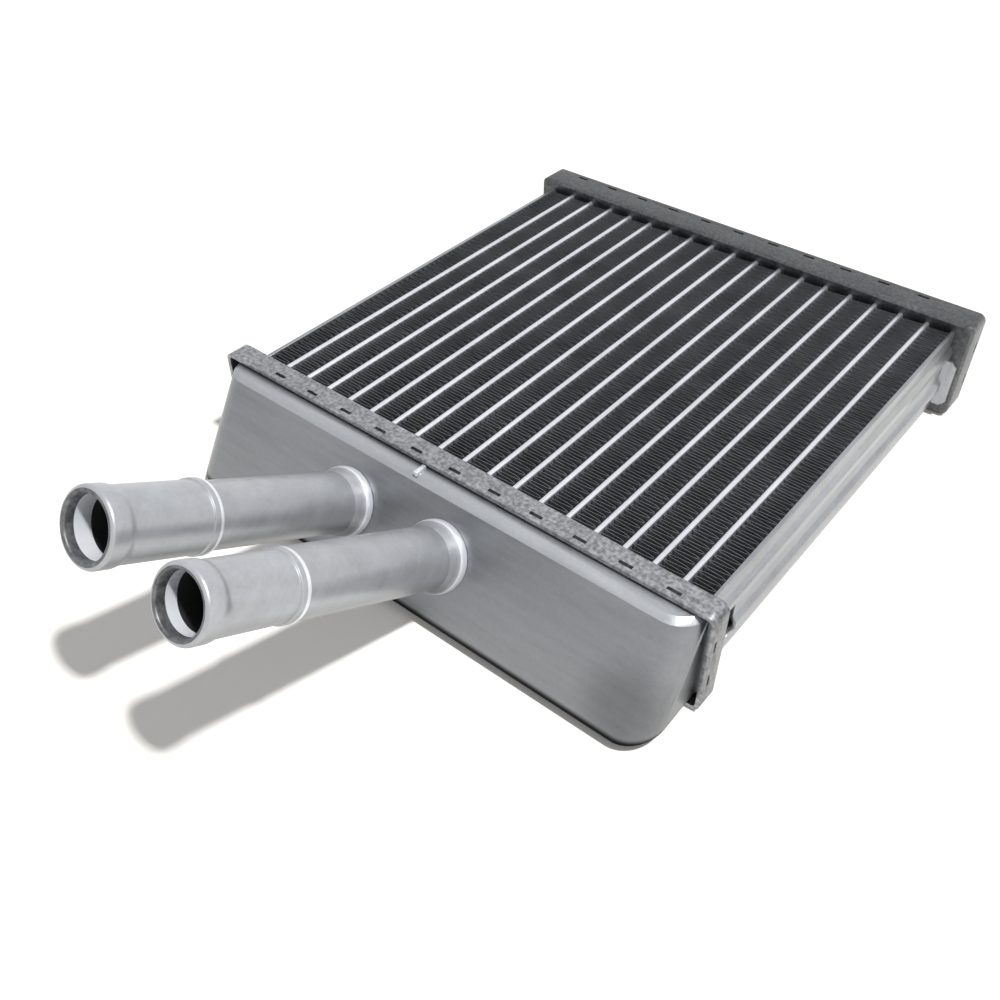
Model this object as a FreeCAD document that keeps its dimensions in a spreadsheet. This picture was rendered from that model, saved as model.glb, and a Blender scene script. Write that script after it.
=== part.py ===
import FreeCAD, Part
import math
import os
import re

import Sketcher
from FreeCAD import Placement, Rotation, Vector

# A cabin heater core of brazed aluminium, in millimetres.
# X runs across the tubes, Y from the pipes (front) to the far tank (rear), Z up.
# Hot water enters the front tank through one pipe, runs back through the tubes on
# that side of the divider, turns in the rear tank and returns through the others.
# The origin is on the ground under the middle of the whole object.

SIZES = {
    # Core: flat tubes on edge with a corrugated fin in each gap
    "tube_count": 17,
    "tube_thickness": 2.0,
    "tube_wall": 0.5,
    "tube_nose": 0.6,
    "core_depth": 32.0,
    "core_length": 168.0,
    "fin_height": 8.0,
    "fin_stock": 0.16,
    "fin_waves": 11,
    "fin_end_gap": 1.5,
    "fin_setback": 0.4,
    # The space that the brazing metal fills between two pieces
    "braze_gap": 0.05,
    # Header plates: pressed pans that hold the tube ends and clasp the tanks
    "header_margin": 3.5,
    "header_stock": 1.5,
    "header_corner": 3.0,
    "header_bend": 1.0,
    "front_header_length": 194.6,
    "front_header_rim": 8.5,
    "front_shift": -1.4,
    "rear_header_length": 193.4,
    "rear_header_rim": 12.0,
    "rear_shift": 0.0,
    "tube_stick_out": 1.5,
    # Crimps: tongues lanced out of the rim and bent in behind the tank's foot
    "crimp_count": 11,
    "crimp_first": -73.5,
    "crimp_pitch": 15.5,
    "crimp_width": 4.5,
    "crimp_slot": 1.2,
    "crimp_root": 0.9,
    "crimp_drop": 0.8,
    "end_crimp_spread": 14.0,
    # Tanks: drawn shells with a sloping face and a thick foot
    "front_tank_length": 188.2,
    "front_foot_depth": 4.0,
    "rear_tank_length": 186.6,
    "rear_foot_depth": 7.5,
    "tank_wall": 1.6,
    "tank_top_inset": 2.4,
    "tank_foot_floor": 3.2,
    "tank_floor": 1.7,
    "tank_ridge": 13.6,
    "tank_face_angle": 31.0,
    "tank_end_radius": 10.0,
    "tank_ridge_bend": 1.6,
    "tank_floor_bend": 1.4,
    # Divider: a plate between the two pipes with a tab through the tank's top
    "divider_place": -6.0,
    "divider_stock": 1.5,
    "divider_gap": 0.15,
    "divider_tab_near": 8.7,
    "divider_tab_far": 13.2,
    "divider_tab_proud": 1.0,
    # Ferrules: turned collars brazed onto the tank's face, one round each pipe
    "pipe_rise": 0.9,
    "ferrule_radius": 11.4,
    "ferrule_length": 6.8,
    "ferrule_ease": 1.3,
    # Pipes: a root inside the tank, a neck, then a hose end with a stop ring and a bead
    "pipe_radius": 9.7,
    "pipe_root": 3.6,
    "stop_height": 0.5,
    "stop_width": 3.2,
    "bead_height": 0.6,
    "bead_width": 7.4,
    "bead_flank": 1.8,
    "lip_ease": 1.1,
    "inlet_place": -27.6,
    "inlet_length": 95.0,
    "inlet_hose_length": 35.2,
    "inlet_hose_radius": 10.2,
    "inlet_bore": 8.4,
    "outlet_place": 11.0,
    "outlet_length": 97.2,
    "outlet_hose_length": 32.8,
    "outlet_hose_radius": 9.4,
    "outlet_bore": 7.8,
    # Side plates: strips with two pressed ribs, a relief notch and a bent foot
    "side_stock": 1.4,
    "side_rib_height": 1.4,
    "side_rib_width": 6.4,
    "side_rib_crown": 2.8,
    "side_rib_spread": 14.0,
    "notch_length": 16.0,
    "notch_height": 16.0,
    "notch_drop": 3.0,
    "notch_round": 2.5,
    "foot_reach": 95.2,
    "foot_height": 19.0,
    "foot_drop": 5.0,
    "foot_cut": 2.0,
}

# Sizes that follow from the ones above
DERIVED = {
    "tube_pitch": "tube_thickness + fin_height",
    "core_half": "(tube_count * tube_pitch + fin_height) / 2",
    "header_height": "core_depth + 2 * header_margin",
    "middle_height": "header_height / 2",
    "core_low": "header_margin",
    "core_high": "core_low + core_depth",
    "foot_seat": "header_stock + braze_gap",
    "tank_top": "header_height - tank_top_inset",
    "pipe_height": "middle_height + pipe_rise",
    "face_slope": "tan(tank_face_angle * 1deg)",
    "face_lean": "cos(tank_face_angle * 1deg)",
    "tank_depth": "tank_ridge + (tank_top - tank_floor) * face_slope",
    "floor_slope": "(tank_foot_floor - tank_floor) / (tank_depth - foot_seat)",
    "pipe_run": "tank_ridge + (tank_top - pipe_height) * face_slope",
    "pipe_tilt": "90 - tank_face_angle",
    "front_reach": "pipe_run + outlet_length * face_lean"
                   " + outlet_hose_radius * sin(tank_face_angle * 1deg)",
    "rear_reach": "tank_depth - tank_floor_bend",
    "core_front": "(front_reach - core_length - rear_reach) / 2",
    "core_rear": "core_front + core_length",
    "wave_pitch": "(core_length - 2 * fin_end_gap) / fin_waves",
    "fin_half": "fin_height / 2 - braze_gap",
    "fin_crest": "fin_stock * sqrt(1 + 16 * (fin_half / wave_pitch) ^ 2)",
    "notch_low": "middle_height - notch_drop - notch_height / 2",
    "foot_low": "middle_height - foot_drop - foot_height / 2",
    "foot_high": "foot_low + foot_height",
    "rib_shift": "side_stock * tan(atan(2 * side_rib_height"
                 " / (side_rib_width - side_rib_crown)) / 2)",
}


def fill_sheet(doc):
    """Writes each size and each derived size into its own named cell."""
    sheet = doc.addObject("Spreadsheet::Sheet", "Sizes")
    cells = list(SIZES.items()) + [(name, "=" + rule) for name, rule in DERIVED.items()]
    for row, (name, content) in enumerate(cells, start=1):
        sheet.set(f"A{row}", name)
        sheet.set(f"B{row}", str(content))
        sheet.setAlias(f"B{row}", name)
    doc.recompute()
    return sheet


def linked(rule):
    """Puts the sheet's name in front of each size that a rule names."""
    def full(word):
        return "Sizes." + word[0] if word[0] in SIZES or word[0] in DERIVED else word[0]
    return re.sub(r"[a-z]\w*", full, rule)


def amount(body, rule):
    """The present value of a rule, as a plain number."""
    return float(body.Document.getObject("Sizes").evalExpression(linked(rule)))


def new_body(doc, name, x="0", y="0", z="0", tilt="0", turn=0.0):
    """A body whose place and tilt about X follow the sheet."""
    body = doc.addObject("PartDesign::Body", name)
    body.Label = name
    axis = Vector(0, 0, 1) if turn else Vector(1, 0, 0)
    body.Placement = Placement(Vector(), Rotation(axis, turn))
    if tilt != "0":
        body.setExpression("Placement.Rotation.Angle", linked(tilt))
    for letter, rule in (("x", x), ("y", y), ("z", z)):
        body.setExpression("Placement.Base." + letter, linked(rule))
    return body


def new_sketch(body, role, name, lift="0"):
    """A sketch on one of the body's own planes, moved along its normal."""
    sketch = body.newObject("Sketcher::SketchObject", name)
    plane = next(item for item in body.Origin.OriginFeatures if item.Role == role)
    sketch.AttachmentSupport = [(plane, "")]
    sketch.MapMode = "FlatFace"
    sketch.setExpression("AttachmentOffset.Base.z", linked(lift))
    return sketch


def bind(sketch, constraint, rule):
    """Adds a dimension that follows a rule."""
    index = sketch.addConstraint(constraint)
    sketch.setExpression(f"Constraints[{index}]", linked(rule))


def pin_point(sketch, item, end, x, y):
    """Fixes one point of a line or arc by its two distances from the origin."""
    point = sketch.getPoint(item, end)
    bind(sketch, Sketcher.Constraint("DistanceX", -1, 1, item, end, point.x), x)
    bind(sketch, Sketcher.Constraint("DistanceY", -1, 1, item, end, point.y), y)


def add_polygon(sketch, corners):
    """A closed outline with each corner given by two rules."""
    points = [Vector(amount(sketch, x), amount(sketch, y), 0) for x, y in corners]
    first = sketch.GeometryCount
    count = len(points)
    for index, point in enumerate(points):
        sketch.addGeometry(Part.LineSegment(point, points[(index + 1) % count]))
    for index in range(count):
        following = first + (index + 1) % count
        sketch.addConstraint(Sketcher.Constraint("Coincident", first + index, 2, following, 1))
    for index, (x, y) in enumerate(corners):
        pin_point(sketch, first + index, 1, x, y)


def add_box(sketch, left, right, low, high):
    """A rectangle between two rules across and two rules up."""
    add_polygon(sketch, [(left, low), (right, low), (right, high), (left, high)])


def add_circle(sketch, x, y, radius):
    """A circle with its centre and radius given by rules."""
    centre = Vector(amount(sketch, x), amount(sketch, y), 0)
    circle = Part.Circle(centre, Vector(0, 0, 1), amount(sketch, radius))
    index = sketch.addGeometry(circle)
    bind(sketch, Sketcher.Constraint("Radius", index, circle.Radius), radius)
    pin_point(sketch, index, 3, x, y)


def add_rounded(sketch, left, right, low, high, radius):
    """A rectangle with four equal round corners."""
    west, east, south, north, bend = [
        amount(sketch, rule) for rule in (left, right, low, high, radius)
    ]
    middle = Vector((west + east) / 2, (south + north) / 2, 0)
    wide = (east - west) / 2 - bend
    tall = (north - south) / 2 - bend
    first = sketch.GeometryCount
    for index, (across, up) in enumerate(((1, -1), (1, 1), (-1, 1), (-1, -1))):
        centre = middle + Vector(across * wide, up * tall, 0)
        quarter = index * math.pi / 2
        arc = Part.ArcOfCircle(Part.Circle(centre, Vector(0, 0, 1), bend), quarter - math.pi / 2,
                               quarter)
        along = Vector(math.cos(quarter), math.sin(quarter), 0)
        ahead = Vector(-along.y, along.x, 0)
        run = 2 * (tall if index % 2 == 0 else wide)
        sketch.addGeometry(arc)
        start = centre + along * bend
        sketch.addGeometry(Part.LineSegment(start, start + ahead * run))
    for index in range(4):
        arc = first + 2 * index
        following = first + (2 * index + 2) % 8
        sketch.addConstraint(Sketcher.Constraint("Tangent", arc, 2, arc + 1, 1))
        sketch.addConstraint(Sketcher.Constraint("Tangent", arc + 1, 2, following, 1))
        level = "Vertical" if index % 2 == 0 else "Horizontal"
        sketch.addConstraint(Sketcher.Constraint(level, arc + 1))
        if index:
            sketch.addConstraint(Sketcher.Constraint("Equal", first, arc))
    bind(sketch, Sketcher.Constraint("Radius", first, bend), radius)
    bind(sketch, Sketcher.Constraint("DistanceX", -1, 1, first + 1, 1, east), right)
    bind(sketch, Sketcher.Constraint("DistanceY", -1, 1, first + 3, 1, north), high)
    bind(sketch, Sketcher.Constraint("DistanceX", -1, 1, first + 5, 1, west), left)
    bind(sketch, Sketcher.Constraint("DistanceY", -1, 1, first + 7, 1, south), low)


def add_bevelled(sketch, left, right, low, high, cut):
    """A rectangle with its four corners cut off."""
    add_polygon(sketch, [
        (left, f"{low} + {cut}"),
        (f"{left} + {cut}", low),
        (f"{right} - {cut}", low),
        (right, f"{low} + {cut}"),
        (right, f"{high} - {cut}"),
        (f"{right} - {cut}", high),
        (f"{left} + {cut}", high),
        (left, f"{high} - {cut}"),
    ])


def extrude(body, kind, name, sketch, length, side="One side", flip=False):
    """A pad or a pocket of a sketch, checked to add or to take away material."""
    before = 0 if body.Shape.isNull() else body.Shape.Volume
    feature = body.newObject("PartDesign::" + kind, name)
    feature.Profile = sketch
    feature.SideType = side
    feature.Reversed = flip
    feature.setExpression("Length", linked(length))
    body.Document.recompute()
    gain = body.Shape.Volume - before
    if gain * (1 if kind == "Pad" else -1) <= 0:
        raise ValueError(f"{body.Label}: {name} changes the volume by {gain}")
    return feature


def revolve(body, name, sketch):
    """A full turn of a sketch about its own upright axis."""
    feature = body.newObject("PartDesign::Revolution", name)
    feature.Profile = sketch
    feature.ReferenceAxis = (sketch, ["V_Axis"])
    feature.Angle = 360
    body.Document.recompute()
    return feature


def repeat(body, name, originals, sketch, axis, pitch, count):
    """A row of equal features along one axis of a sketch."""
    row = body.newObject("PartDesign::LinearPattern", name)
    row.Originals = originals
    row.Direction = (sketch, [axis])
    row.setExpression("Length", linked(f"({pitch}) * (({count}) - 1)"))
    row.setExpression("Occurrences", linked(count))
    body.Tip = row
    body.Document.recompute()
    return row


def near(first, second):
    """Whether two lengths are the same to within a hair."""
    return abs(first - second) < 0.01


def shape_edges(body, kind, name, wanted, size):
    """Rounds or bevels every edge of the body's present shape that a test picks."""
    feature = body.Tip
    names = [f"Edge{n}" for n, edge in enumerate(feature.Shape.Edges, 1) if wanted(edge)]
    if not names:
        raise ValueError(f"{body.Label}: no edge found for {name}")
    change = body.newObject("PartDesign::" + kind, name)
    change.Base = (feature, names)
    change.setExpression("Radius" if kind == "Fillet" else "Size", linked(size))
    body.Document.recompute()
    return change


def hollow(skin, back):
    """The tank's side outline, drawn in by the thickness of a skin."""
    front = (f"((tank_ridge + (tank_top - tank_floor - floor_slope * tank_depth - {skin})"
             f" * face_slope - {skin} / face_lean) / (1 - floor_slope * face_slope))")
    floor = f"tank_floor + {skin} + floor_slope * (tank_depth - "
    return [
        (f"-({back})", f"{floor}{back})"),
        (f"-{front}", f"{floor}{front})"),
        (f"-tank_ridge - {skin} * (face_slope - 1 / face_lean)", f"tank_top - {skin}"),
        (f"-({back})", f"tank_top - {skin}"),
    ]


def make_tube(doc, number):
    """A flat tube on edge, open at both ends."""
    place = f"({number} - (tube_count - 1) / 2) * tube_pitch"
    body = new_body(doc, f"tube_{number + 1:02d}", place, "core_rear + tube_stick_out")
    sketch = new_sketch(body, "XZ_Plane", "tube_section")
    add_bevelled(sketch, "-tube_thickness / 2", "tube_thickness / 2", "core_low", "core_high",
                 "tube_nose")
    add_box(sketch, "-tube_thickness / 2 + tube_wall", "tube_thickness / 2 - tube_wall",
            "core_low + tube_nose + tube_wall", "core_high - tube_nose - tube_wall")
    extrude(body, "Pad", "tube_length", sketch, "core_length + 2 * tube_stick_out")
    return body


def make_fin(doc, number):
    """A strip folded to and fro between two tubes."""
    place = f"({number} - tube_count / 2) * tube_pitch"
    body = new_body(doc, f"fin_{number + 1:02d}", place, "core_front + fin_end_gap")
    sketch = new_sketch(body, "XY_Plane", "fold_section", "core_low + fin_setback")
    add_polygon(sketch, [
        ("-fin_half", "0"),
        ("-fin_half + fin_crest", "0"),
        ("fin_half", "wave_pitch / 2"),
        ("-fin_half + fin_crest", "wave_pitch"),
        ("-fin_half", "wave_pitch"),
        ("fin_half - fin_crest", "wave_pitch / 2"),
    ])
    fold = extrude(body, "Pad", "fold", sketch, "core_depth - 2 * fin_setback")
    repeat(body, "folds", [fold], sketch, "V_Axis", "wave_pitch", "fin_waves")
    return body


def make_header(doc, end, turn):
    """A pressed pan with a slot for each tube and crimps along its rim."""
    length = f"{end}_header_length"
    rim = f"{end}_header_rim"
    shift = f"{end}_shift"
    stock = "header_stock"
    body = new_body(doc, f"{end}_header_plate", y=f"core_{end}", turn=turn)
    blank = new_sketch(body, "XZ_Plane", "pan_outline")
    add_rounded(blank, f"{shift} - {length} / 2", f"{shift} + {length} / 2", "0", "header_height",
                "header_corner")
    extrude(body, "Pad", "pan_block", blank, rim)
    shape_edges(body, "Chamfer", "pan_bend", lambda edge: near(edge.BoundBox.YMin, 0), "header_bend")
    well = new_sketch(body, "XZ_Plane", "well_outline", stock)
    add_rounded(well, f"{shift} - {length} / 2 + {stock}", f"{shift} + {length} / 2 - {stock}",
                stock, f"header_height - {stock}", f"header_corner - {stock}")
    extrude(body, "Pocket", "well", well, rim, flip=True)

    slot = new_sketch(body, "XZ_Plane", "tube_slot_outline")
    first = "-tube_pitch * (tube_count - 1) / 2"
    add_box(slot, f"{first} - tube_thickness / 2 - braze_gap",
            f"{first} + tube_thickness / 2 + braze_gap",
            "core_low - braze_gap", "core_high + braze_gap")
    opening = extrude(body, "Pocket", "tube_slot", slot, f"2 * {stock}", flip=True)
    repeat(body, "tube_slots", [opening], slot, "H_Axis", "tube_pitch", "tube_count")

    near_edge = f"(foot_seat + {end}_foot_depth + braze_gap)"
    far_edge = f"({near_edge} + crimp_slot)"
    window = new_sketch(body, "XY_Plane", "crimp_slot_outline")
    add_box(window, "crimp_first - crimp_width / 2", "crimp_first + crimp_width / 2",
            f"-{far_edge}", f"-{near_edge}")
    opening = extrude(body, "Pocket", "crimp_slot", window, "header_height", flip=True)
    section = new_sketch(body, "YZ_Plane", "tongue_section", "crimp_first")
    for wall, drop in ((f"header_height - {stock}", "-crimp_drop"), (stock, "+crimp_drop")):
        add_polygon(section, [
            (f"-{far_edge} - crimp_root", wall),
            (f"-{far_edge}", wall),
            (f"-{near_edge}", wall + drop),
        ])
    tongue = extrude(body, "Pad", "tongue", section, "crimp_width", "Symmetric")
    repeat(body, "crimps", [opening, tongue], window, "H_Axis", "crimp_pitch", "crimp_count")

    window = new_sketch(body, "YZ_Plane", "end_slot_outline")
    level = "middle_height - end_crimp_spread / 2"
    add_box(window, f"-{far_edge}", f"-{near_edge}", f"{level} - crimp_width / 2",
            f"{level} + crimp_width / 2")
    opening = extrude(body, "Pocket", "end_slot", window, f"2 * {length}", "Symmetric")
    section = new_sketch(body, "XY_Plane", "end_tongue_section", level)
    for side in "-+":
        wall = f"{shift} {side} ({length} / 2 - {stock})"
        add_polygon(section, [
            (wall, f"-{far_edge} - crimp_root"),
            (wall, f"-{far_edge}"),
            (f"{shift} {side} ({length} / 2 - {stock} - crimp_drop)", f"-{near_edge}"),
        ])
    tongue = extrude(body, "Pad", "end_tongue", section, "crimp_width", "Symmetric")
    repeat(body, "end_crimps", [opening, tongue], window, "V_Axis", "end_crimp_spread", "2")
    return body


def make_tank(doc, end, turn):
    """A drawn shell that is open towards the core, with a thick foot round its mouth."""
    body = new_body(doc, f"{end}_tank", y=f"core_{end}", turn=turn)
    length = f"{end}_tank_length"
    shift = f"{end}_shift"
    profile = new_sketch(body, "YZ_Plane", "tank_profile", shift)
    add_polygon(profile, hollow("0", "foot_seat"))
    extrude(body, "Pad", "tank_block", profile, length, "Symmetric")
    cavity = new_sketch(body, "YZ_Plane", "cavity_profile", shift)
    add_polygon(cavity, hollow("tank_wall", "0"))
    extrude(body, "Pocket", "cavity", cavity, f"{length} - 2 * tank_wall", "Symmetric")
    middle = amount(body, shift)
    seat = amount(body, "-foot_seat")
    top = amount(body, "tank_top")

    def leans_at(reach):
        def test(edge):
            box = edge.BoundBox
            return (near(abs(box.Center.x - middle), amount(body, reach))
                    and box.XLength < 0.01 and box.ZLength > 10 and box.YLength > 10)
        return test

    def on_mouth(edge):
        return near(edge.BoundBox.YMin, seat) and near(edge.BoundBox.YMax, seat)

    shape_edges(body, "Fillet", "cavity_corners", leans_at(f"{length} / 2 - tank_wall"),
                "tank_end_radius - tank_wall")
    shape_edges(body, "Fillet", "end_corners", leans_at(f"{length} / 2"), "tank_end_radius")
    shape_edges(body, "Chamfer", "ridge",
                lambda edge: near(edge.BoundBox.ZMin, top) and not on_mouth(edge),
                "tank_ridge_bend")
    floor = min(body.Tip.Shape.Faces, key=lambda face: face.CenterOfMass.z)
    shape_edges(body, "Chamfer", "floor_bend",
                lambda edge: any(edge.isSame(e) for e in floor.Edges) and not on_mouth(edge),
                "tank_floor_bend")

    foot = new_sketch(body, "XZ_Plane", "foot_outline", "foot_seat")
    stock = "header_stock + braze_gap"
    reach = f"({end}_header_length / 2 - ({stock}))"
    add_rounded(foot, f"{shift} - {reach}", f"{shift} + {reach}", stock,
                f"header_height - ({stock})", f"header_corner - ({stock})")
    wall = "tank_wall / 2"
    add_box(foot, f"{shift} - {length} / 2 + {wall}", f"{shift} + {length} / 2 - {wall}",
            f"tank_foot_floor + {wall}", f"tank_top - {wall}")
    extrude(body, "Pad", "foot", foot, f"{end}_foot_depth")
    return body


def open_tank(body):
    """Cuts the pipe holes and the divider's slot into the front tank."""
    holes = new_sketch(body, "XY_Plane", "pipe_holes_outline", "pipe_height")
    holes.AttachmentOffset = Placement(Vector(), Rotation(Vector(1, 0, 0), 0))
    holes.setExpression("AttachmentOffset.Base.y", linked("-pipe_run"))
    holes.setExpression("AttachmentOffset.Rotation.Angle", linked("pipe_tilt"))
    for place in ("inlet_place", "outlet_place"):
        add_circle(holes, place, "0", "pipe_radius + braze_gap")
    extrude(body, "Pocket", "pipe_holes", holes, "6 * tank_wall", "Symmetric")
    gate = new_sketch(body, "XY_Plane", "divider_slot_outline", "tank_top")
    reach = "divider_stock / 2 + divider_gap"
    add_box(gate, f"divider_place - ({reach})", f"divider_place + {reach}",
            "-divider_tab_far - divider_gap", "-divider_tab_near + divider_gap")
    extrude(body, "Pocket", "divider_slot", gate, "1.5 * tank_wall")


def make_divider(doc):
    """A plate that parts the front tank between its two pipes."""
    body = new_body(doc, "tank_divider", "divider_place", "core_front")
    sketch = new_sketch(body, "YZ_Plane", "divider_outline")
    back, front, ridge, top = hollow("(tank_wall + divider_gap)", "header_stock + divider_gap")
    tab = "tank_top + divider_tab_proud"
    add_polygon(sketch, [
        back,
        front,
        ridge,
        ("-divider_tab_far", top[1]),
        ("-divider_tab_far", tab),
        ("-divider_tab_near", tab),
        ("-divider_tab_near", top[1]),
        top,
    ])
    extrude(body, "Pad", "divider_plate", sketch, "divider_stock", "Symmetric")
    return body


def make_ferrule(doc, pipe):
    """A turned collar round the foot of one pipe."""
    body = new_body(doc, f"{pipe}_ferrule", f"{pipe}_place", "core_front - pipe_run", "pipe_height",
                    "pipe_tilt")
    sketch = new_sketch(body, "XZ_Plane", "collar_section")
    bore = "pipe_radius + braze_gap"
    add_polygon(sketch, [
        (bore, "braze_gap"),
        ("ferrule_radius", "braze_gap"),
        ("ferrule_radius", "ferrule_length - ferrule_ease"),
        ("ferrule_radius - ferrule_ease", "ferrule_length"),
        (bore, "ferrule_length"),
    ])
    revolve(body, "collar", sketch)
    return body


def make_pipe(doc, pipe):
    """A straight pipe with a hose end."""
    body = new_body(doc, f"{pipe}_pipe", f"{pipe}_place", "core_front - pipe_run", "pipe_height",
                    "pipe_tilt")
    sketch = new_sketch(body, "XZ_Plane", "pipe_section")
    length = f"{pipe}_length"
    hose = f"{pipe}_hose_radius"
    bore = f"{pipe}_bore"
    stop = f"{length} - {pipe}_hose_length"
    bead = f"{length} - bead_width"
    crown = f"{hose} + bead_height"
    add_polygon(sketch, [
        (bore, "-pipe_root"),
        ("pipe_radius", "-pipe_root"),
        ("pipe_radius", stop),
        (f"{hose} + stop_height", stop),
        (f"{hose} + stop_height", f"{stop} + stop_width"),
        (hose, f"{stop} + stop_width"),
        (hose, bead),
        (crown, f"{bead} + bead_flank"),
        (crown, f"{length} - lip_ease"),
        (f"{crown} - lip_ease", length),
        (bore, length),
    ])
    revolve(body, "pipe_wall", sketch)
    return body


def make_side_plate(doc, name, side):
    """A strip with two pressed ribs that closes one side of the core."""
    body = new_body(doc, name, y="core_rear")
    sketch = new_sketch(body, "XZ_Plane", "side_section", "braze_gap")
    face = "core_half + braze_gap"
    inner = [(face, "core_low")]
    outer = [(f"{face} + side_stock", "core_low")]
    for rib in ("-", "+"):
        middle = f"middle_height {rib} side_rib_spread / 2"
        for sign, half, height in (
            ("-", "side_rib_width", "0"),
            ("-", "side_rib_crown", "side_rib_height"),
            ("+", "side_rib_crown", "side_rib_height"),
            ("+", "side_rib_width", "0"),
        ):
            inner.append((f"{face} + {height}", f"{middle} {sign} ({half} / 2 - rib_shift)"))
            outer.append((f"{face} + side_stock + {height}", f"{middle} {sign} {half} / 2"))
    inner.append((face, "core_high"))
    outer.append((f"{face} + side_stock", "core_high"))
    corners = inner + outer[::-1]
    add_polygon(sketch, [(f"{side} * ({x})", z) for x, z in corners])
    extrude(body, "Pad", "side_strip", sketch, "core_length - 2 * braze_gap")

    notch = new_sketch(body, "YZ_Plane", "notch_outline")
    add_rounded(notch, "-core_length - notch_length", "-core_length + notch_length",
                "notch_low", "notch_low + notch_height", "notch_round")
    extrude(body, "Pocket", "notch", notch, "3 * core_half", "Symmetric")

    foot = new_sketch(body, "XZ_Plane", "foot_outline", "braze_gap")
    root = f"{side} * (core_half + braze_gap + side_stock / 2)"
    add_polygon(foot, [
        (root, "foot_low"),
        (f"{side} * (foot_reach - foot_cut)", "foot_low"),
        (f"{side} * foot_reach", "foot_low + foot_cut"),
        (f"{side} * foot_reach", "foot_high - foot_cut"),
        (f"{side} * (foot_reach - foot_cut)", "foot_high"),
        (root, "foot_high"),
    ])
    extrude(body, "Pad", "foot", foot, "side_stock")
    return body


def check(doc, bodies):
    """Stops the build if any feature or any shape is unsound."""
    for item in doc.Objects:
        if "Invalid" in item.State or "Error" in item.State:
            raise ValueError(f"{item.Label} is {item.State}")
    for body in bodies:
        if body.Shape.isNull() or not body.Shape.isValid() or len(body.Shape.Solids) != 1:
            raise ValueError(f"{body.Label} has an unsound shape")


def main():
    os.makedirs("parts", exist_ok=True)
    doc = FreeCAD.newDocument("heater_core")
    fill_sheet(doc)
    bodies = [
        make_header(doc, "front", 0),
        make_tank(doc, "front", 0),
        make_divider(doc),
        make_header(doc, "rear", 180),
        make_tank(doc, "rear", 180),
        make_ferrule(doc, "inlet"),
        make_ferrule(doc, "outlet"),
        make_pipe(doc, "inlet"),
        make_pipe(doc, "outlet"),
        make_side_plate(doc, "side_plate_left", -1),
        make_side_plate(doc, "side_plate_right", 1),
    ]
    open_tank(bodies[1])
    bodies += [make_tube(doc, number) for number in range(SIZES["tube_count"])]
    bodies += [make_fin(doc, number) for number in range(SIZES["tube_count"] + 1)]
    doc.recompute()
    check(doc, bodies)
    for body in bodies:
        body.Shape.exportStep(f"parts/{body.Label}.step")


main()
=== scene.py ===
import math
from contextlib import contextmanager

import bmesh
import bpy
from mathutils import Matrix, Vector


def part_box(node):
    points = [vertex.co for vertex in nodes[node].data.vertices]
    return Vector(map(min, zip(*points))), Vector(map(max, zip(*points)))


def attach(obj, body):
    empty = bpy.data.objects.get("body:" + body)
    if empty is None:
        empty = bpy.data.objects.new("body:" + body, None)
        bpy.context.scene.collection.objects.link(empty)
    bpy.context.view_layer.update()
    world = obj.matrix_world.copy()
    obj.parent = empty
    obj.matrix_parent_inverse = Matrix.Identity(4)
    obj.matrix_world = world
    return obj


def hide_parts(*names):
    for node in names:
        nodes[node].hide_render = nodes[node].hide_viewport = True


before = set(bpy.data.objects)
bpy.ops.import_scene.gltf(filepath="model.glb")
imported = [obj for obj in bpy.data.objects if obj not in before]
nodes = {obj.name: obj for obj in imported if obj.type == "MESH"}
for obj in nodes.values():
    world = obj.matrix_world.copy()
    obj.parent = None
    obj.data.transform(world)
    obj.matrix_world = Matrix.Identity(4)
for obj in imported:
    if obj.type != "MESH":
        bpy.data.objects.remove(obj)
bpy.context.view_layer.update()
bpy.context.scene.view_settings.view_transform = "Standard"


# The table that the heater core lies on, and the white room round it.
# The floor is pale card; to the camera and in reflections it runs out to plain white.
def link_object(name, data):
    """A new object in the scene, made from a mesh, a lamp or a camera."""
    thing = bpy.data.objects.new(name, data)
    bpy.context.scene.collection.objects.link(thing)
    return thing


def new_material(name):
    """A new material, its node tree and its shader."""
    material = bpy.data.materials.new(name)
    material.use_nodes = True
    tree = material.node_tree
    return material, tree, tree.nodes["Principled BSDF"]


def feed(tree, node, sources):
    """Gives each named input of a node its value, or links it to another node's output."""
    for name, source in sources.items():
        if isinstance(source, bpy.types.NodeSocket):
            tree.links.new(source, node.inputs[name])
        else:
            node.inputs[name].default_value = source


def add_node(tree, kind, sources=None, **settings):
    """A new node with its settings and with what feeds its inputs."""
    made = tree.nodes.new(kind)
    for name, setting in settings.items():
        setattr(made, name, setting)
    feed(tree, made, sources or {})
    return made


def combined(tree, operation, first, second):
    """What a math node makes of two values."""
    made = add_node(tree, "ShaderNodeMath", {0: first, 1: second}, operation=operation)
    return made.outputs["Value"]


def ranged(tree, value, span, goals, curve="SMOOTHSTEP"):
    """Maps the span of a value onto the stretch between two goals."""
    made = add_node(tree, "ShaderNodeMapRange", {
        "Value": value,
        "From Min": span[0],
        "From Max": span[1],
        "To Min": goals[0],
        "To Max": goals[1],
    }, interpolation_type=curve)
    return made.outputs["Result"]


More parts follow.
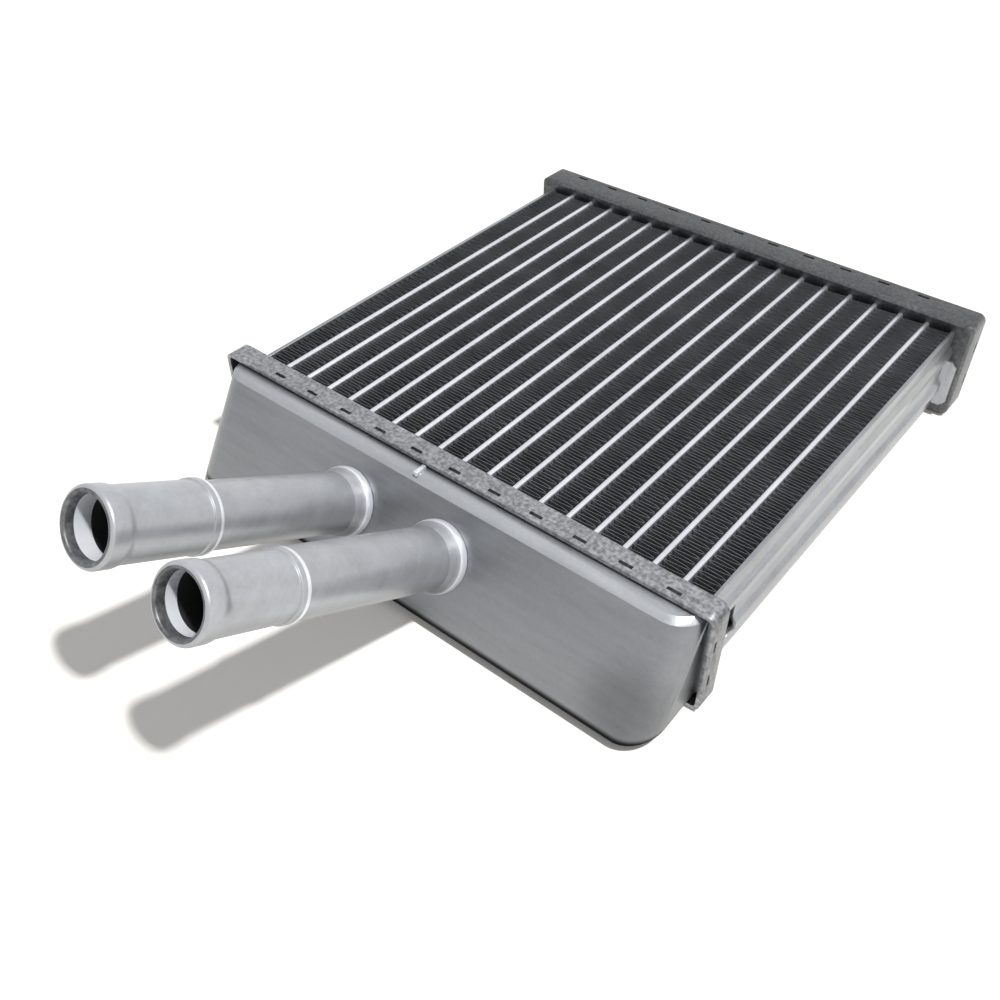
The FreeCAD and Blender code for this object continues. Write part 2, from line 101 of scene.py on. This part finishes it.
floor_half = 3.0
floor_level = -0.0005
card_colour = (0.95, 0.93, 0.89, 1)
glow_span = (0.35, 1.2)
glow_goals = (0.08, 1.0)
floor_mesh = bpy.data.meshes.new("floor")
floor_mesh.from_pydata(
    [(-floor_half, -floor_half, 0), (floor_half, -floor_half, 0),
     (floor_half, floor_half, 0), (-floor_half, floor_half, 0)],
    [], [(0, 1, 2, 3)])
floor = link_object("floor", floor_mesh)
floor.location.z = floor_level
floor_paint, tree, shader = new_material("floor_card")
spot = add_node(tree, "ShaderNodeTexCoord").outputs["Object"]
reach = add_node(tree, "ShaderNodeVectorMath", {0: spot}, operation="LENGTH").outputs["Value"]
seen = add_node(tree, "ShaderNodeLightPath").outputs
direct = combined(tree, "MAXIMUM", seen["Is Camera Ray"], seen["Is Glossy Ray"])
feed(tree, shader, {
    "Base Color": card_colour,
    "Roughness": 0.9,
    "Specular IOR Level": 0.1,
    "Emission Color": (1, 1, 1, 1),
    "Emission Strength": combined(
        tree, "MULTIPLY", direct, ranged(tree, reach, glow_span, glow_goals)),
})
floor_mesh.materials.append(floor_paint)

room_colour = (0.95, 0.95, 0.95, 1)
room_strength = 0.36
world = bpy.data.worlds.new("white_room")
bpy.context.scene.world = world
world.use_nodes = True
tree = world.node_tree
room = tree.nodes["Background"]
feed(tree, room, {"Color": room_colour, "Strength": room_strength})
white = add_node(tree, "ShaderNodeBackground", {"Color": (1, 1, 1, 1), "Strength": 1.0})
seen = add_node(tree, "ShaderNodeLightPath").outputs
direct = combined(tree, "MAXIMUM", seen["Is Camera Ray"], seen["Is Glossy Ray"])
pick = add_node(tree, "ShaderNodeMixShader", {
    "Fac": combined(tree, "MAXIMUM", direct, seen["Is Transmission Ray"]),
    1: room.outputs["Background"],
    2: white.outputs["Background"],
})
feed(tree, tree.nodes["World Output"], {"Surface": pick.outputs["Shader"]})


# Lamp: one far softbox high on the right throws the two pipe shadows to the lower left
# of the picture. The rest of the light comes from the white room.
key_place = Vector((1.23, -0.01, 2.73))
key_target = Vector((0.0, -0.1, 0.0))
key_light = bpy.data.lights.new("softbox_key", "AREA")
key_light.shape = "SQUARE"
key_light.size = 0.17
key_light.energy = 92.0
key_light.color = (1.0, 0.99, 0.98)
softbox = link_object("softbox_key", key_light)
softbox.location = key_place
softbox.rotation_euler = (key_target - key_place).to_track_quat("-Z", "Y").to_euler()


# The camera stands in front of the pipes, high to the right of the core, and looks down
# across it to the far corner, so that the near pipe mouths open towards it.
azimuth = math.radians(39.37)
elevation = math.radians(42.33)
roll = math.radians(-0.11)
distance = 0.3225
aim_right = 0.0128
aim_down = 0.01117
aim_height = 0.0355
sensor_width = 36.0
focal_share = 1.0472
core_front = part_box("front_header_plate")[1].y
back = Vector((
    math.sin(azimuth) * math.cos(elevation),
    -math.cos(azimuth) * math.cos(elevation),
    math.sin(elevation),
))
right = Vector((math.cos(azimuth), math.sin(azimuth), 0))
up = back.cross(right)
side = right * math.cos(roll) + up * math.sin(roll)
head = up * math.cos(roll) - right * math.sin(roll)
camera_place = back * distance + right * aim_right - up * aim_down
camera_place += Vector((0, core_front, aim_height))
camera_data = bpy.data.cameras.new("camera")
camera_data.sensor_width = sensor_width
camera_data.lens = sensor_width * focal_share
camera_data.clip_start = 0.01
camera = link_object("camera", camera_data)
camera.matrix_world = Matrix((
    (side.x, head.x, back.x, camera_place.x),
    (side.y, head.y, back.y, camera_place.y),
    (side.z, head.z, back.z, camera_place.z),
    (0, 0, 0, 1),
))
bpy.context.scene.camera = camera


# Rolled and drawn aluminium as it comes out of the brazing oven: pale grey with a faint
# mottle of flux, fine draw lines and some grime, with painted highlight and painted shade
# on the faces that look up, down or to the right end.
def factor_group(name, takes):
    """A new shader group that gives one factor, and the sockets of the values it takes."""
    group = bpy.data.node_groups.new(name, "ShaderNodeTree")
    for label, value in takes.items():
        kind = "NodeSocketVector" if isinstance(value, tuple) else "NodeSocketFloat"
        made = group.interface.new_socket(name=label, in_out="INPUT", socket_type=kind)
        made.default_value = value
    group.interface.new_socket(name="Factor", in_out="OUTPUT", socket_type="NodeSocketFloat")
    return group, add_node(group, "NodeGroupInput").outputs


def placed(tree, group, sources):
    """Places a group in a tree with values of its own, and gives its factor."""
    return add_node(tree, "ShaderNodeGroup", sources, node_tree=group).outputs["Factor"]


# Flux mottle: large soft patches with small specks over them.
flux_mottle, given = factor_group("flux_mottle", {
    "Vector": (0.0, 0.0, 0.0), "Patch Scale": 60.0})
patches = add_node(flux_mottle, "ShaderNodeTexNoise", {
    "Vector": given["Vector"], "Scale": given["Patch Scale"], "Detail": 3.0, "Roughness": 0.55})
specks = add_node(flux_mottle, "ShaderNodeTexNoise", {
    "Vector": given["Vector"], "Scale": 900.0, "Detail": 2.0, "Roughness": 0.6})
speck_share = 0.35
blend = add_node(flux_mottle, "ShaderNodeMix", {
    "Factor": speck_share, 2: patches.outputs["Fac"], 3: specks.outputs["Fac"]}, data_type="FLOAT")
add_node(flux_mottle, "NodeGroupOutput", {"Factor": blend.outputs[0]})

# Draw lines: fine streaks that run along a piece, as the rolls and dies leave them.
draw_lines, given = factor_group("draw_lines", {
    "Vector": (0.0, 0.0, 0.0), "Stretch": (1.0, 1.0, 1.0)})
stretched = add_node(draw_lines, "ShaderNodeVectorMath", {
    0: given["Vector"], 1: given["Stretch"]}, operation="MULTIPLY")
streaks = add_node(draw_lines, "ShaderNodeTexNoise", {
    "Vector": stretched.outputs["Vector"], "Scale": 1.0, "Detail": 4.0, "Roughness": 0.7})
add_node(draw_lines, "NodeGroupOutput", {"Factor": streaks.outputs["Fac"]})

# Painted facing light: one factor paints a highlight on the faces that look up, another paints
# shade on those that look down.
painted_facing_light, given = factor_group("painted_facing_light", {
    "Normal": (0.0, 0.0, 1.0), "Top": 1.0, "Painted Under Shade": 1.0})
upward = add_node(painted_facing_light, "ShaderNodeSeparateXYZ", {"Vector": given["Normal"]}).outputs["Z"]
top_span = (0.58, 0.9)
under_span = (-0.1, -0.4)
add_node(painted_facing_light, "NodeGroupOutput", {"Factor": combined(
    painted_facing_light, "MULTIPLY",
    ranged(painted_facing_light, upward, top_span, (1.0, given["Top"]), "LINEAR"),
    ranged(painted_facing_light, upward, under_span, (1.0, given["Painted Under Shade"]), "LINEAR"))})

# Painted end light: a factor for the faces that look to the right end, below 1 as painted shade and
# above 1 as painted light.
painted_end_light, given = factor_group("painted_end_light", {"Normal": (0.0, 0.0, 1.0), "End": 1.0})
endward = add_node(painted_end_light, "ShaderNodeSeparateXYZ", {"Vector": given["Normal"]}).outputs["X"]
end_span = (0.5, 0.9)
add_node(painted_end_light, "NodeGroupOutput", {
    "Factor": ranged(painted_end_light, endward, end_span, (1.0, given["End"]))})

# Grime: small dark and light spots of baked flux.
grime_spots, given = factor_group("grime_spots", {
    "Vector": (0.0, 0.0, 0.0), "Darkest": 0.7, "Lightest": 1.3})
soil = add_node(grime_spots, "ShaderNodeTexNoise", {
    "Vector": given["Vector"], "Scale": 800.0, "Detail": 3.0})
soil_span = (0.35, 0.65)
soil_goals = (given["Darkest"], given["Lightest"])
add_node(grime_spots, "NodeGroupOutput", {
    "Factor": ranged(grime_spots, soil.outputs["Fac"], soil_span, soil_goals, "LINEAR")})


def toned(material, factor):
    """Multiplies a metal's colour by one more factor."""
    tree = material.node_tree
    shader = tree.nodes["Principled BSDF"]
    colour = shader.inputs["Base Color"].links[0].from_socket
    tone = add_node(tree, "ShaderNodeVectorMath", {0: colour, "Scale": factor}, operation="SCALE")
    feed(tree, shader, {"Base Color": tone.outputs["Vector"]})


cool_tint = (0.965, 1.0, 1.06)
grain_span = (0.3, 0.7)
line_share = 0.4
gloss_change = 0.07
dent_depth = 0.0004


def metal(name, greys, stretch, roughness, metallic, bump=0.05, patch=60.0, tilt=0.0,
          painted_top_light=1.0, painted_under_shade=1.0, end=1.0, grime=0.0):
    """Brazed aluminium between two cool greys, with draw lines along the piece.

    The factors for the top, the underside and the right end paint highlight and shade onto the
    faces that look that way.
    """
    material, tree, shader = new_material(name)
    place = add_node(tree, "ShaderNodeTexCoord").outputs["Object"]
    facing = add_node(tree, "ShaderNodeNewGeometry").outputs["Normal"]
    along = add_node(tree, "ShaderNodeMapping", {"Vector": place, "Rotation": (tilt, 0, 0)})
    grain = add_node(tree, "ShaderNodeMix", {
        "Factor": line_share,
        2: placed(tree, flux_mottle, {"Vector": place, "Patch Scale": patch}),
        3: placed(tree, draw_lines, {"Vector": along.outputs["Vector"], "Stretch": stretch}),
    }, data_type="FLOAT").outputs[0]
    shade = add_node(tree, "ShaderNodeValToRGB", {"Fac": grain})
    for stop, position, grey in zip(shade.color_ramp.elements, grain_span, greys):
        stop.position = position
        stop.color = (*(part * grey for part in cool_tint), 1)
    dent = add_node(tree, "ShaderNodeBump", {
        "Strength": bump, "Distance": dent_depth, "Height": grain})
    gloss_goals = (roughness - gloss_change, roughness + gloss_change)
    feed(tree, shader, {
        "Base Color": shade.outputs["Color"],
        "Roughness": ranged(tree, grain, grain_span, gloss_goals, "LINEAR"),
        "Normal": dent.outputs["Normal"],
        "Metallic": metallic,
    })
    toned(material, placed(tree, painted_facing_light, {"Normal": facing, "Top": painted_top_light, "Painted Under Shade": painted_under_shade}))
    if end != 1.0:
        toned(material, placed(tree, painted_end_light, {"Normal": facing, "End": end}))
    if grime:
        toned(material, placed(tree, grime_spots, {
            "Vector": place, "Darkest": 1.0 - grime, "Lightest": 1.0 + grime}))
    return material


# Tanks: two shells drawn from aluminium sheet, their faces smoothed by the press.
# Each is clasped by its header plate and brazed to it; the front one carries the pipes.
@contextmanager
def reshaping(mesh):
    """Opens a mesh for changes to its faces, and writes them back."""
    shape = bmesh.new()
    shape.from_mesh(mesh)
    yield shape
    shape.to_mesh(mesh)
    shape.free()


def applied(piece):
    """Leaves what a piece's modifiers make of it as its plain mesh."""
    bpy.context.view_layer.update()
    shaped = piece.evaluated_get(bpy.context.evaluated_depsgraph_get())
    done = bpy.data.meshes.new_from_object(shaped)
    piece.modifiers.clear()
    piece.data = done
    return done


def creased(mesh, degrees):
    """Shades a mesh smooth, apart from the edges that turn by more than an angle."""
    mesh.shade_smooth()
    mesh.set_sharp_from_angle(angle=math.radians(degrees))


point_weld = 1e-6
flat_angle = math.radians(1.0)


def merged_copy(name, node):
    """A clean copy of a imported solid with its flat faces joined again."""
    mesh = nodes[node].data.copy()
    with reshaping(mesh) as shape:
        bmesh.ops.remove_doubles(shape, verts=shape.verts, dist=point_weld)
        bmesh.ops.dissolve_limit(shape, angle_limit=flat_angle, verts=shape.verts,
                                 edges=shape.edges, use_dissolve_boundaries=False)
    mesh.materials.clear()
    mesh.attributes.active_color = None
    return link_object(name, mesh)


corner_angle = math.radians(20)
slight_ease = 0.15
bend_weld = 4e-6


def pressed(name, node, width_and_steps, material, soft=None):
    """A copy of a solid whose sharp corners are eased as a press leaves them.

    Edges that the test soft picks are eased by the full width, the others by less.
    """
    piece = merged_copy(name, node)
    with reshaping(piece.data) as shape:
        weight = shape.edges.layers.float.new("bevel_weight_edge")
        for edge in shape.edges:
            if edge.is_manifold and edge.calc_face_angle(0.0) > corner_angle:
                chosen = soft is None or all(soft(point.co) for point in edge.verts)
                edge[weight] = 1.0 if chosen else slight_ease
    ease = piece.modifiers.new("ease", "BEVEL")
    ease.width, ease.segments = width_and_steps
    ease.limit_method = "WEIGHT"
    ease.use_clamp_overlap = True
    ease.harden_normals = False
    done = applied(piece)
    with reshaping(done) as shape:
        bmesh.ops.remove_doubles(shape, verts=shape.verts, dist=bend_weld)
        bmesh.ops.dissolve_degenerate(shape, edges=shape.edges, dist=bend_weld)
    done.materials.append(material)
    creased(done, degrees=32)
    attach(piece, "root")
    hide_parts(node)
    return piece


# The front tank's metal carries a painted highlight on its upward faces and painted shade on its
# downward faces; the rear tank takes a darker copy of the same metal as painted shade.
tank_metal = metal("tank_metal", greys=(0.20, 0.29), stretch=(25.0, 350.0, 350.0),
                   roughness=0.36, metallic=0.9, patch=14.0, painted_top_light=1.7, painted_under_shade=0.12)
tank_painted_shade = metal("tank_painted_shade", greys=(0.11, 0.18), stretch=(25.0, 900.0, 900.0),
                  roughness=0.42, metallic=0.85)

# Painted shade darkens the front tank's lower hem, and a painted dark reflection dulls the right
# end of its face.
tank_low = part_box("front_tank")[0]
painted_hem_shade_span = (tank_low.z + 0.0018, tank_low.z + 0.0033)
painted_hem_shade_goals = (0.04, 1.0)
painted_reflection_middle = (0.083, tank_low.y + 0.006, 0.011)
painted_reflection_span = (0.004, 0.019)
painted_reflection_goals = (0.64, 1.0)
tree = tank_metal.node_tree
place = add_node(tree, "ShaderNodeTexCoord").outputs["Object"]
height = add_node(tree, "ShaderNodeSeparateXYZ", {"Vector": place}).outputs["Z"]
toned(tank_metal, ranged(tree, height, painted_hem_shade_span, painted_hem_shade_goals))
from_painted_reflection = add_node(tree, "ShaderNodeVectorMath", {0: place, 1: painted_reflection_middle}, operation="DISTANCE")
toned(tank_metal, ranged(tree, from_painted_reflection.outputs["Value"], painted_reflection_span, painted_reflection_goals))

# The bends that the press rounds most are a tank's ridge and its floor bend.
header_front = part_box("front_header_plate")[0].y
header_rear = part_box("rear_header_plate")[1].y
slot_low, slot_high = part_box("tank_divider")
foot_margin = 0.001
slot_margin = 0.003
ridge_level = 0.034
bend_level = 0.0045


def on_skin(point):
    """Whether a point lies on a tank's ridge or floor bend, clear of its foot and slot."""
    clear = point.y < header_front + foot_margin or point.y > header_rear - foot_margin
    near_slot = slot_low.x - slot_margin < point.x < slot_high.x + slot_margin
    return clear and not near_slot and (point.z > ridge_level or point.z < bend_level)


tank_ease = (0.0024, 6)
pressed("tank_shell_front", "front_tank", tank_ease, tank_metal, on_skin)
pressed("tank_shell_rear", "rear_tank", tank_ease, tank_painted_shade, on_skin)


# Header plates: sheet pressed into shallow pans, slotted for the tubes, with tongues
# lanced from the rim and bent in behind the tank's foot. The divider is cut sheet.
sheet_ease = (0.0003, 2)
cut_ease = (0.0002, 2)
# The front header's faces that look to the right end are darkened as painted shade. The rear header
# takes a darker copy of the metal as painted shade, lightened on its right end as painted light.
header_metal = metal("header_metal", greys=(0.22, 0.36), stretch=(40.0, 700.0, 700.0),
                     roughness=0.36, metallic=0.85, end=0.55, grime=0.35)
rear_header_painted_shade = metal("rear_header_painted_shade", greys=(0.07, 0.13), stretch=(40.0, 700.0, 700.0),
                   roughness=0.42, metallic=0.85, end=1.5, grime=0.25)
tab_metal = metal("tab_metal", greys=(0.60, 0.80), stretch=(700.0, 700.0, 40.0),
                  roughness=0.35, metallic=0.6)
pressed("header_pan_front", "front_header_plate", sheet_ease, header_metal)
pressed("header_pan_rear", "rear_header_plate", sheet_ease, rear_header_painted_shade)
pressed("divider_plate", "tank_divider", cut_ease, tab_metal)


# Side plates: strips of sheet with two pressed ribs, rolled bright, brazed to the outer
# fins, each with a foot bent out against the rear header.
side_metal = metal("side_metal", greys=(0.27, 0.42), stretch=(700.0, 30.0, 700.0),
                   roughness=0.32, metallic=0.85)
pressed("side_strip_left", "side_plate_left", sheet_ease, side_metal)
pressed("side_strip_right", "side_plate_right", sheet_ease, side_metal)


# Flat tubes: drawn aluminium, 2 mm thick with full round noses, brazed into both headers.
# One tube's section is swept along the core and repeated at the tube pitch.
tube_count = 17
tube_low, tube_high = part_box("tube_01")
last_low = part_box(f"tube_{tube_count:02d}")[0]
tube_wall = 0.0004
tube_pitch = (last_low.x - tube_low.x) / (tube_count - 1)
nose_steps = 8


def nose_outline(half_thick, half_tall):
    """The outline of a flat tube on edge, round at both ends."""
    points = []
    for end in (1, -1):
        for step in range(nose_steps + 1):
            angle = math.pi * step / nose_steps
            points.append((end * half_thick * math.cos(angle),
                           end * (half_tall - half_thick + half_thick * math.sin(angle))))
    return points


def closed_mesh(name, points, faces):
    """A mesh of points and faces whose faces all look outward."""
    mesh = bpy.data.meshes.new(name)
    mesh.from_pydata(points, [], faces)
    with reshaping(mesh) as shape:
        bmesh.ops.recalc_face_normals(shape, faces=shape.faces)
    return mesh


def flat_tube(name):
    """One open flat tube, standing round the origin and running along +Y from 0."""
    half_thick = (tube_high.x - tube_low.x) / 2
    half_tall = (tube_high.z - tube_low.z) / 2
    run = tube_high.y - tube_low.y
    outer = nose_outline(half_thick, half_tall)
    inner = nose_outline(half_thick - tube_wall, half_tall - tube_wall)
    count = len(outer)
    points = []
    for loop, y in ((outer, 0), (outer, run), (inner, run), (inner, 0)):
        points += [(x, y, z) for x, z in loop]
    faces = []
    for painted_ring_highlight in range(4):
        near = painted_ring_highlight * count
        far = (painted_ring_highlight + 1) % 4 * count
        for i in range(count):
            j = (i + 1) % count
            faces.append((near + i, near + j, far + j, far + i))
    return closed_mesh(name, points, faces)


def row_tree(name):
    """A tree that repeats its mesh in a row along X, and the identifiers of its inputs."""
    tree = bpy.data.node_groups.new(name, "GeometryNodeTree")
    tree.interface.new_socket(name="Geometry", in_out="INPUT", socket_type="NodeSocketGeometry")
    identifiers = {}
    for label, kind in (("Count", "NodeSocketInt"), ("Pitch", "NodeSocketFloat"),
                        ("Start", "NodeSocketVector"), ("Metal", "NodeSocketMaterial")):
        made = tree.interface.new_socket(name=label, in_out="INPUT", socket_type=kind)
        identifiers[label] = made.identifier
    tree.interface.new_socket(name="Geometry", in_out="OUTPUT", socket_type="NodeSocketGeometry")
    given = add_node(tree, "NodeGroupInput").outputs
    step = add_node(tree, "ShaderNodeCombineXYZ", {"X": given["Pitch"]})
    line = add_node(tree, "GeometryNodeMeshLine", {
        "Count": given["Count"],
        "Start Location": given["Start"],
        "Offset": step.outputs["Vector"],
    }, mode="OFFSET")
    put = add_node(tree, "GeometryNodeInstanceOnPoints", {
        "Points": line.outputs["Mesh"], "Instance": given["Geometry"]})
    real = add_node(tree, "GeometryNodeRealizeInstances", {"Geometry": put.outputs["Instances"]})
    coat = add_node(tree, "GeometryNodeSetMaterial", {
        "Geometry": real.outputs["Geometry"], "Material": given["Metal"]})
    add_node(tree, "NodeGroupOutput", {"Geometry": coat.outputs["Geometry"]})
    return tree, identifiers


core_row, row_inputs = row_tree("core_row")


def in_a_row(name, mesh, count, low, high, material):
    """Copies of a mesh in a row at the tube pitch, the first one in the box from low to high."""
    piece = link_object(name, mesh)
    row = piece.modifiers.new("row", "NODES")
    row.node_group = core_row
    row[row_inputs["Count"]] = count
    row[row_inputs["Pitch"]] = tube_pitch
    row[row_inputs["Start"]] = ((low.x + high.x) / 2, low.y, (low.z + high.z) / 2)
    row[row_inputs["Metal"]] = material
    applied(piece)
    return piece


tube_metal = metal("tube_metal", greys=(0.58, 0.80), stretch=(900.0, 20.0, 900.0),
                   roughness=0.30, metallic=0.85)
tubes = in_a_row("flat_tubes", flat_tube("flat_tubes"), tube_count, tube_low, tube_high, tube_metal)
creased(tubes.data, degrees=40)
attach(tubes, "root")
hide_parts(*[f"tube_{n:02d}" for n in range(1, tube_count + 1)])


# Fins: thin foil folded to and fro in rounded waves, one strip in each gap between the
# tubes. The foil is dulled by the flux, and its colour is darkened further as painted shade between
# the tubes.
fin_low, fin_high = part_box("fin_01")
fin_count = tube_count + 1
fin_run = fin_high.y - fin_low.y
wanted_pitch = 0.0026
fold_count = int(fin_run / wanted_pitch)
fold_pitch = fin_run / fold_count
fold_steps = 10
fold_bulge = 0.45
foil = 0.00012


def folded_strip(name):
    """One closed strip of foil folded in rounded waves along Y, centred on X and Z."""
    half = (fin_high.x - fin_low.x) / 2 - foil
    tall = (fin_high.z - fin_low.z) / 2
    path = []
    for i in range(fold_count * fold_steps + 1):
        turn = i / fold_steps
        wave = math.cos(2 * math.pi * turn)
        bulge = math.copysign(abs(wave) ** fold_bulge, wave)
        path.append(Vector((half * bulge, turn * fold_pitch, 0)))
    points = []
    for i, point in enumerate(path):
        ahead = path[min(i + 1, len(path) - 1)] - path[max(i - 1, 0)]
        across = Vector((-ahead.y, ahead.x, 0)).normalized() * foil / 2
        for offset in (across, -across):
            for level in (-tall, tall):
                place = point + offset
                points.append((place.x, min(max(place.y, 0), fin_run), level))
    faces = []
    for i in range(len(path) - 1):
        a = 4 * i
        b = a + 4
        faces += [(a, a + 1, b + 1, b), (a + 3, a + 2, b + 2, b + 3),
                  (a + 1, a + 3, b + 3, b + 1), (a + 2, a, b, b + 2)]
    last = 4 * (len(path) - 1)
    faces += [(0, 2, 3, 1), (last, last + 1, last + 3, last + 2)]
    return closed_mesh(name, points, faces)


# Dull flux colour, darkened further as painted shade between the tubes.
fin_metal = metal("fin_metal", greys=(0.13, 0.30), stretch=(300.0, 300.0, 1500.0),
                  roughness=0.5, metallic=0.7, bump=0.3)
fins = in_a_row("folded_fins", folded_strip("folded_fins"), fin_count, fin_low, fin_high, fin_metal)
creased(fins.data, degrees=50)
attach(fins, "root")
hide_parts(*[f"fin_{n:02d}" for n in range(1, fin_count + 1)])


# Pipes: drawn tube with a stop ring rolled up for the hose to meet, and a bead and a
# turned-in lip at the mouth. Collars: turned rings brazed onto the tank's face.
mm = 0.001
face_angle = math.radians(31.0)
pipe_way = Vector((0, -math.cos(face_angle), math.sin(face_angle)))
corner_steps = 4
corner_share = 0.49
pipe_sides = 96


def arc_corner(before, corner, after, radius):
    """Points that round one corner of a section, or the corner itself where it stays sharp."""
    corner = Vector(corner)
    if not radius:
        return [corner]
    back = Vector(before) - corner
    ahead = Vector(after) - corner
    reach = min(radius, corner_share * back.length, corner_share * ahead.length)
    start = corner + back.normalized() * reach
    end = corner + ahead.normalized() * reach
    points = []
    for step in range(corner_steps + 1):
        t = step / corner_steps
        points.append((1 - t) ** 2 * start + 2 * t * (1 - t) * corner + t ** 2 * end)
    return points


def turned(name, corners, foot, node, metals):
    """A closed section of (radius, height, easing, metal) corners turned about the pipe's axis."""
    section = []
    paints = []
    for i, (radius, height, ease, paint) in enumerate(corners):
        before = corners[i - 1][:2]
        after = corners[(i + 1) % len(corners)][:2]
        bend = arc_corner(before, (radius, height), after, ease)
        section += bend
        paints += [paint] * len(bend)
    tilt = Vector((0, 0, 1)).rotation_difference(pipe_way).to_matrix()
    points = []
    for side_step in range(pipe_sides):
        angle = 2 * math.pi * side_step / pipe_sides
        for radius, height in section:
            place = Vector((radius * math.cos(angle), radius * math.sin(angle), height))
            points.append(tilt @ place + foot)
    size = len(section)
    faces = []
    for side_step in range(pipe_sides):
        here = side_step * size
        there = (side_step + 1) % pipe_sides * size
        for i in range(size):
            j = (i + 1) % size
            faces.append((here + i, there + i, there + j, here + j))
    mesh = closed_mesh(name, points, faces)
    mesh.polygons.foreach_set("material_index", paints * pipe_sides)
    creased(mesh, degrees=40)
    for metal_used in metals:
        mesh.materials.append(metal_used)
    piece = link_object(name, mesh)
    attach(piece, "root")
    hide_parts(node)
    return piece


# The pipes' tops carry a painted highlight and their undersides painted shade.
pipe_metal = metal("pipe_metal", greys=(0.34, 0.48), stretch=(300.0, 300.0, 25.0),
                   roughness=0.38, metallic=0.6, bump=0.02, patch=120.0,
                   tilt=math.pi / 2 - face_angle, painted_top_light=1.1, painted_under_shade=0.72)
# The lip at each mouth is painted dark as shade.
lip_painted_shade = metal("lip_painted_shade", greys=(0.02, 0.26), stretch=(300.0, 300.0, 300.0),
                  roughness=0.45, metallic=0.6, patch=500.0)
# The bore is painted lit near the mouth and painted dark deeper in, as painted light and painted
# shade.
bore_painted_light = metal("bore_painted_light", greys=(0.85, 0.95), stretch=(500.0, 500.0, 500.0),
                    roughness=0.3, metallic=0.3)
bore_painted_shade = metal("bore_painted_shade", greys=(0.008, 0.02), stretch=(500.0, 500.0, 500.0),
                  roughness=0.7, metallic=0.2)
# Bright metal painted as a highlight on the collars' flanges and on the pipes' stop rings.
ferrule_metal = metal("ferrule_metal", greys=(0.70, 0.88), stretch=(500.0, 500.0, 500.0),
                      roughness=0.40, metallic=0.5, bump=0.04)
pipe_metals = [pipe_metal, lip_painted_shade, bore_painted_light, bore_painted_shade, ferrule_metal]
skin, shaded_lip, painted_bore_light, painted_bore_shade, painted_ring_highlight = range(len(pipe_metals))
collar_metals = [ferrule_metal, pipe_metal]
painted_flange_highlight, neck = range(len(collar_metals))

pipe_radius = 9.7 * mm
pipe_root = 3.6 * mm
seam = 0.05 * mm
collar_radius = 11.4 * mm
collar_length = 6.8 * mm
# For each pipe: the radius of its hose end and of its bore, its length, the length of its
# hose end, and how deep the painted light reaches into the bore before the painted shade.
pipe_sizes = {
    "inlet": (10.2 * mm, 8.4 * mm, 95.0 * mm, 35.2 * mm, 8.2 * mm),
    "outlet": (9.4 * mm, 7.8 * mm, 97.2 * mm, 32.8 * mm, 6.6 * mm),
}
for pipe, (hose, bore, length, hose_length, painted_light_depth) in pipe_sizes.items():
    low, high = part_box(f"{pipe}_ferrule")
    foot = Vector((
        (low.x + high.x) / 2,
        high.y - collar_radius * math.sin(face_angle) + seam * math.cos(face_angle),
        low.z + collar_radius * math.cos(face_angle) - seam * math.sin(face_angle),
    ))
    stop = length - hose_length
    bead = length - 7.4 * mm
    stop_ring = hose + 0.5 * mm
    crown = hose + 0.6 * mm
    turned(f"{pipe}_hose_pipe", [
        (bore, -pipe_root, 0, skin),
        (pipe_radius, -pipe_root, 0, skin),
        (pipe_radius, stop, 0.6 * mm, painted_ring_highlight),
        (stop_ring, stop + 0.05 * mm, 0.6 * mm, painted_ring_highlight),
        (stop_ring, stop + 1.3 * mm, 0, skin),
        (stop_ring, stop + 3.15 * mm, 0.6 * mm, skin),
        (hose, stop + 3.2 * mm, 0.6 * mm, skin),
        (hose, bead, 0.8 * mm, skin),
        (crown, bead + 1.8 * mm, 0.9 * mm, skin),
        (crown, length - 0.75 * mm, 1.5 * mm, skin),
        (crown - 1.4 * mm, length - 0.2 * mm, 0.5 * mm, shaded_lip),
        (bore + 0.2 * mm, length - 0.6 * mm, 0.5 * mm, shaded_lip),
        (bore, length - 3.2 * mm, 0, painted_bore_light),
        (bore, length - painted_light_depth, 0, painted_bore_shade),
    ], foot, f"{pipe}_pipe", pipe_metals)
    turned(f"{pipe}_collar", [
        (pipe_radius + seam, seam, 0, painted_flange_highlight),
        (collar_radius, seam, 0.3 * mm, painted_flange_highlight),
        (collar_radius, 2.2 * mm, 1.6 * mm, painted_flange_highlight),
        (10.6 * mm, 3.6 * mm, 1.8 * mm, neck),
        (pipe_radius + seam, collar_length, 0.1 * mm, neck),
    ], foot, f"{pipe}_ferrule", collar_metals)
